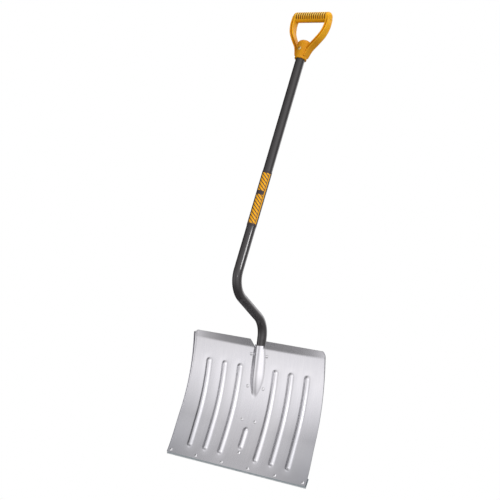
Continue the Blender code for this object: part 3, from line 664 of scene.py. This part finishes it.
def crank_path(steps):
    """Centre points and directions down the shaft, in the YZ plane."""
    corners = [Vector((SHAFT_Y, TUBE_TOP_Z)), Vector((SHAFT_Y, CRANK_HIGH_Z)),
               Vector((CRANK_Y, CRANK_LOW_Z)), Vector((socket_y(TUBE_END_Z), TUBE_END_Z))]
    path = [(corners[0], (corners[1] - corners[0]).normalized())]
    for before, corner, after in zip(corners, corners[1:], corners[2:]):
        into, out = (corner - before).normalized(), (after - corner).normalized()
        turn = into.angle(out)
        back = CRANK_RADIUS * math.tan(turn / 2)
        sense = 1 if into.x * out.y - into.y * out.x > 0 else -1
        across = Vector((-into.y, into.x)) * sense
        centre = corner - into * back + across * CRANK_RADIUS
        for angle in between(0, turn, steps):
            offset = -across * math.cos(angle) + into * math.sin(angle)
            along = into * math.cos(angle) + across * math.sin(angle)
            path.append((centre + offset * CRANK_RADIUS, along))
    path.append((corners[-1], path[-1][1]))
    return path


def ring_round(centre, along, radius, sides):
    side = Vector((1, 0, 0))
    middle = Vector((0, centre.x, centre.y))
    across = Vector((0, along.x, along.y)).cross(side)
    angles = [math.tau * i / sides for i in range(sides)]
    return [middle + (side * math.cos(a) + across * math.sin(a)) * radius for a in angles]


def make_tube(mat):
    path = crank_path(28)
    outside = [ring_round(c, d, TUBE_RADIUS, 64) for c, d in path]
    inside = [ring_round(c, d, TUBE_RADIUS - TUBE_WALL, 64) for c, d in path]
    bm = skin(outside + inside[::-1], closed_ends=False)
    piece("tube_shaft", bm, mat, ("shaft_tube",))


def make_label(mat):
    inner, outer = TUBE_RADIUS + GAP / 2, TUBE_RADIUS + GAP + FILM
    reach = math.pi / 2
    angles = between(-math.pi / 2 + LABEL_TURN - reach, -math.pi / 2 + LABEL_TURN + reach, 40)
    section = [(outer * math.cos(a), outer * math.sin(a)) for a in angles]
    section += [(inner * math.cos(a), inner * math.sin(a)) for a in reversed(angles)]
    rings = [[(x, SHAFT_Y + y, z) for x, y in section] for z in between(LABEL_LOW_Z, LABEL_HIGH_Z, 4)]
    piece("label_print", skin(rings), mat, ("shaft_label",))


# ---------------------------------------------------------------- screws

def cross_cutter(size, low, high):
    """Two crossed bars, for a driver's recess."""
    arm, half = size, size * 0.22
    outline = [(arm, -half), (arm, half), (half, half), (half, arm), (-half, arm), (-half, half),
               (-arm, half), (-arm, -half), (-half, -half), (-half, -arm), (half, -arm), (half, -half)]
    return skin([[(x * 0.55, y * 0.55, low) for x, y in outline], [(x, y, high) for x, y in outline]])


def make_screw(name, node, place, direction, mat):
    """A pan-head screw with a cross recess."""
    dome = [(SCREW_HEAD * math.cos(a), 0.0012 + (SCREW_HEAD_HEIGHT - 0.0012) * math.sin(a))
            for a in between(math.pi / 2, 0, 10)]
    dome[0] = (0, dome[0][1])
    profile = dome + [(SCREW_HEAD * 0.98, 0.0), (SCREW_SHANK, 0.0), (SCREW_SHANK, -0.007),
                      (SCREW_SHANK * 0.4, -0.009), (0, -0.009)]
    obj = piece(name, turned(profile, 40), mat, (node,), sharp=30)
    cutter = helper(name + "_cutter", cross_cutter(SCREW_HEAD * 0.52, 0.0012, 0.0031))
    boolean(obj, "DIFFERENCE", cutter)
    apply_modifiers(obj, [cutter])
    obj.data.transform(facing(direction, place))
    obj.data.set_sharp_from_angle(angle=math.radians(30))


# ---------------------------------------------------------------- grip

def smooth_path(points, steps):
    ends = [points[0] * 2 - points[1]] + points + [points[-1] * 2 - points[-2]]
    path = []
    for a, b, c, d in zip(ends, ends[1:], ends[2:], ends[3:]):
        for i in range(steps):
            t = i / steps
            path.append(0.5 * (2 * b + (c - a) * t + (2 * a - 5 * b + 4 * c - d) * t ** 2
                               + (3 * b - 3 * c + d - a) * t ** 3))
    return path + [points[-1]]


def arm_bmesh(side):
    """A swept H section: two ridges with a groove between them, on the front and on the back."""
    path = smooth_path([Vector((side * x, z)) for x, z in ARM_PATH], 8)
    rings = []
    for i, point in enumerate(path):
        along = (path[min(i + 1, len(path) - 1)] - path[max(i - 1, 0)]).normalized()
        across = Vector((along.y, -along.x))
        share = i / (len(path) - 1)
        spread = 1.35 - 0.35 * min(share * 5, 1)
        thick, deep = ARM_HALF_THICK * spread, ARM_HALF_DEPTH
        groove = ARM_GROOVE * ease(share / 0.10) * ease((1 - share) / 0.15)
        quarter = [(thick, 0.0), (thick, deep - 0.0022), (thick - 0.0008, deep - 0.0006),
                   (thick * 0.72, deep), (thick * 0.50, deep - 0.0004), (thick * 0.34, deep - groove),
                   (0.0, deep - groove)]
        half = quarter + [(-u, v) for u, v in quarter[-2::-1]]
        section = half + [(u, -v) for u, v in half[-2:0:-1]]
        ring = []
        for u, v in section:
            centre = point + across * u
            ring.append((centre.x, SHAFT_Y + v, centre.y))
        rings.append(ring)
    return skin(rings)


def bar_bmesh():
    """The hand bar: cross grooves over its top and front, and a smooth strip under them."""
    sides, rounding = 72, 0.010
    rings = []
    for x in between(-BAR_HALF, BAR_HALF, 240):
        into_end = max(abs(x) - (BAR_HALF - rounding), 0) / rounding
        radius = BAR_RADIUS * math.sqrt(max(1 - into_end ** 2 * 0.80, 0.02))
        nearest = (round(x / GROOVE_PITCH - 0.5) + 0.5) * GROOVE_PITCH
        inside = 1 if abs(nearest) <= GROOVE_PITCH * GROOVES / 2 else 0
        cut = GROOVE_DEPTH * inside * ease((GROOVE_HALF_WIDTH - abs(x - nearest)) / 0.0012 + 0.2)
        ring = []
        for i in range(sides):
            angle = math.tau * i / sides
            # 0 faces forward, a quarter turn faces up
            from_middle = abs((angle - GROOVE_MIDDLE + math.pi) % math.tau - math.pi)
            fade = ease((GROOVE_REACH - from_middle) / math.radians(8))
            r = radius - cut * fade
            ring.append((x, SHAFT_Y - r * math.cos(angle), BAR_Z + r * math.sin(angle)))
        rings.append(ring)
    return skin(rings)


def hub_bmesh():
    dome = HUB_TOP_Z - HUB_SHOULDER_Z
    profile = [(0, GRIP_LOW_Z), (HUB_LOW_RADIUS + 0.0002, GRIP_LOW_Z),
               (HUB_LOW_RADIUS + 0.0008, GRIP_LOW_Z + 0.0010),
               (HUB_LOW_RADIUS + 0.0008, GRIP_LOW_Z + 0.0036),
               (HUB_LOW_RADIUS + 0.0003, GRIP_LOW_Z + 0.0050), (HUB_HIGH_RADIUS, HUB_SHOULDER_Z)]
    profile += [(HUB_HIGH_RADIUS * math.cos(a), HUB_SHOULDER_Z + dome * math.sin(a))
                for a in between(0.12, math.pi / 2 - 0.12, 8)]
    profile.append((0, HUB_TOP_Z))
    bm = turned(profile, 64)
    bmesh.ops.translate(bm, verts=bm.verts, vec=(0, SHAFT_Y, 0))
    return bm


def cylinder(name, radius, low, high, direction, place):
    bm = bmesh.new()
    bmesh.ops.create_cone(bm, cap_ends=True, segments=64, radius1=radius, radius2=radius,
                          depth=high - low, matrix=Matrix.Translation((0, 0, (low + high) / 2)))
    bm.transform(facing(direction, place))
    return helper(name, bm)


def make_grip(mat, screw_metal):
    """Hub, arms and bar melted into one moulded body, then bored for the tube and sunk for the screw."""
    whole = bmesh.new()
    for part in (hub_bmesh(), arm_bmesh(-1), arm_bmesh(1), bar_bmesh()):
        mesh = bpy.data.meshes.new("grip_part")
        part.to_mesh(mesh)
        part.free()
        whole.from_mesh(mesh)
        bpy.data.meshes.remove(mesh)
    obj = piece("grip_body", whole, mat, ("d_grip",), sharp=180)
    melt = obj.modifiers.new("melt", "REMESH")
    melt.mode = "VOXEL"
    melt.voxel_size = 0.00073
    melt.use_smooth_shade = True
    soften = obj.modifiers.new("soften", "SMOOTH")
    soften.factor = 0.5
    soften.iterations = 2
    bore = cylinder("bore", TUBE_RADIUS + CLEARANCE, -0.005, TUBE_TOP_Z - GRIP_LOW_Z + 0.0006, (0, 0, 1),
                    (0, SHAFT_Y, GRIP_LOW_Z))
    seat_y = SHAFT_Y - HUB_LOW_RADIUS - 0.0012
    recess = cylinder("recess", SCREW_HEAD + 0.0014, 0, 0.02, (0, -1, 0), (0, seat_y, GRIP_SCREW_Z))
    boolean(obj, "DIFFERENCE", bore)
    boolean(obj, "DIFFERENCE", recess)
    apply_modifiers(obj, [bore, recess])
    obj.data.set_sharp_from_angle(angle=math.radians(50))
    make_screw("grip_pin", "grip_screw", (0, seat_y - GAP, GRIP_SCREW_Z), (0, -1, 0), screw_metal)


# ---------------------------------------------------------------- stage, light and camera

def make_world():
    """White to the camera; to the metal, a studio of soft panels with dark room between them."""
    world = bpy.data.worlds.new("studio")
    bpy.context.scene.world = world
    world.use_nodes = True
    n = Nodes(world.node_tree)
    world.node_tree.nodes.clear()
    direction = n.add("ShaderNodeTexCoord").outputs["Generated"]
    total = None
    for axis, sharpness, amount in PANELS:
        towards = Vector(axis).normalized()
        product = n.add("ShaderNodeVectorMath", {0: direction, 1: towards}, operation="DOT_PRODUCT")
        away = n.math("SUBTRACT", product.outputs["Value"], 1.0)
        panel = n.math("MULTIPLY", n.math("EXPONENT", n.math("MULTIPLY", away, sharpness)), amount)
        total = panel if total is None else n.math("ADD", total, panel)
    strength = n.math("ADD", total, ROOM)
    seen = n.add("ShaderNodeLightPath").outputs["Is Camera Ray"]
    studio = n.add("ShaderNodeBackground", {"Color": rgb(1.0, 0.985, 1.0), "Strength": strength})
    white = n.add("ShaderNodeBackground", {"Color": rgb(1, 1, 1), "Strength": 1.0})
    mixed = n.add("ShaderNodeMixShader", {0: seen, 1: studio.outputs[0], 2: white.outputs[0]})
    n.add("ShaderNodeOutputWorld", {"Surface": mixed.outputs[0]})


def make_floor():
    """A pale floor under the blade, seen only from above and only by the camera."""
    bm = bmesh.new()
    bmesh.ops.create_grid(bm, x_segments=8, y_segments=8, size=FLOOR_HALF,
                          matrix=Matrix.Translation((0, 0, FLOOR_Z)))
    mesh = bpy.data.meshes.new("floor")
    bm.to_mesh(mesh)
    bm.free()
    floor = bpy.data.objects.new("floor", mesh)
    bpy.context.scene.collection.objects.link(floor)
    mat = bpy.data.materials.new("pale_floor")
    mat.use_nodes = True
    n = Nodes(mat.node_tree)
    mat.node_tree.nodes.clear()
    pale = n.add("ShaderNodeBsdfDiffuse", {"Color": rgb(0.90, 0.90, 0.91)})
    glow = n.add("ShaderNodeEmission", {"Color": rgb(1, 1, 1), "Strength": 0.45})
    shown = n.add("ShaderNodeAddShader", {0: pale.outputs[0], 1: glow.outputs[0]})
    clear = n.add("ShaderNodeBsdfTransparent")
    seen = n.add("ShaderNodeLightPath").outputs["Is Camera Ray"]
    back = n.add("ShaderNodeNewGeometry").outputs["Backfacing"]
    share = n.math("MULTIPLY", seen, n.math("SUBTRACT", 1.0, back))
    mixed = n.add("ShaderNodeMixShader", {0: share, 1: clear.outputs[0], 2: shown.outputs[0]})
    n.add("ShaderNodeOutputMaterial", {"Surface": mixed.outputs[0]})
    mesh.materials.append(mat)


def make_light(name, place, target, size, power):
    data = bpy.data.lights.new(name, "AREA")
    data.shape = "RECTANGLE"
    data.size, data.size_y = size
    data.energy = power
    light = bpy.data.objects.new(name, data)
    bpy.context.scene.collection.objects.link(light)
    light.location = place
    light.rotation_euler = (Vector(target) - Vector(place)).to_track_quat("-Z", "Y").to_euler()


def make_camera():
    """Looks up from the right and from below the blade, rolled so that the shovel leans."""
    back = Vector((math.sin(AZIMUTH) * math.cos(ELEVATION), -math.cos(AZIMUTH) * math.cos(ELEVATION),
                   math.sin(ELEVATION)))
    level = Vector((math.cos(AZIMUTH), math.sin(AZIMUTH), 0))
    upright = back.cross(level)
    right = math.cos(ROLL) * level + math.sin(ROLL) * upright
    up = -math.sin(ROLL) * level + math.cos(ROLL) * upright
    data = bpy.data.cameras.new("camera")
    data.sensor_width = SENSOR
    data.lens = LENS
    data.clip_end = 50.0
    camera = bpy.data.objects.new("camera", data)
    bpy.context.scene.collection.objects.link(camera)
    place = TO_RIGHT * right + UPWARD * up + BACKWARD * back + Vector((0, SHAFT_Y, 0))
    turn = Matrix((right, up, back)).transposed().to_4x4()
    camera.matrix_world = Matrix.Translation(place) @ turn
    bpy.context.scene.camera = camera


# ---------------------------------------------------------------- the shovel

make_camera()
make_world()
make_floor()
make_light("by_camera", (1.80, -2.35, -0.10), (0, -0.15, 0.45), (0.24, 0.16), 1.3)
make_light("right_strip", (2.05, -1.05, 1.03), (0, -0.23, 0.52), (0.85, 0.19), 6.5)

rivet_metal = metal_material("rivet_aluminium", rgb(0.88, 0.88, 0.90), rgb(0.98, 0.98, 0.99),
                             0.20, 0.32, 300)
plate_metal = metal_material("plated_steel", rgb(0.50, 0.51, 0.53), rgb(0.62, 0.63, 0.64),
                             0.30, 0.46, 60)
screw_metal = metal_material("screw_steel", rgb(0.80, 0.58, 0.20), rgb(0.93, 0.76, 0.38),
                             0.20, 0.34, 400)

make_scoop(scoop_material())
make_wear_strip(strip_material())
strip_x = between(-STRIP_RIVET_REACH, STRIP_RIVET_REACH, STRIP_RIVETS - 1)
strip_places = [(x, STRIP_RIVET_Z) for x in strip_x]
plate_places = [(side * x, z) for x, z in PLATE_PAIRS for side in (-1, 1)] + [(0, PLATE_LAST_Z)]
make_rivets("rivet_edge", "strip_rivet", strip_places, STRIP + GAP, rivet_metal)
make_rivets("rivet_back", "plate_rivet", plate_places, PLATE + GAP, rivet_metal)
make_socket_plate(plate_metal, screw_metal)
make_tube(paint_material())
make_label(label_material())
make_grip(plastic_material(), screw_metal)

bpy.context.scene.view_settings.view_transform = "Standard"
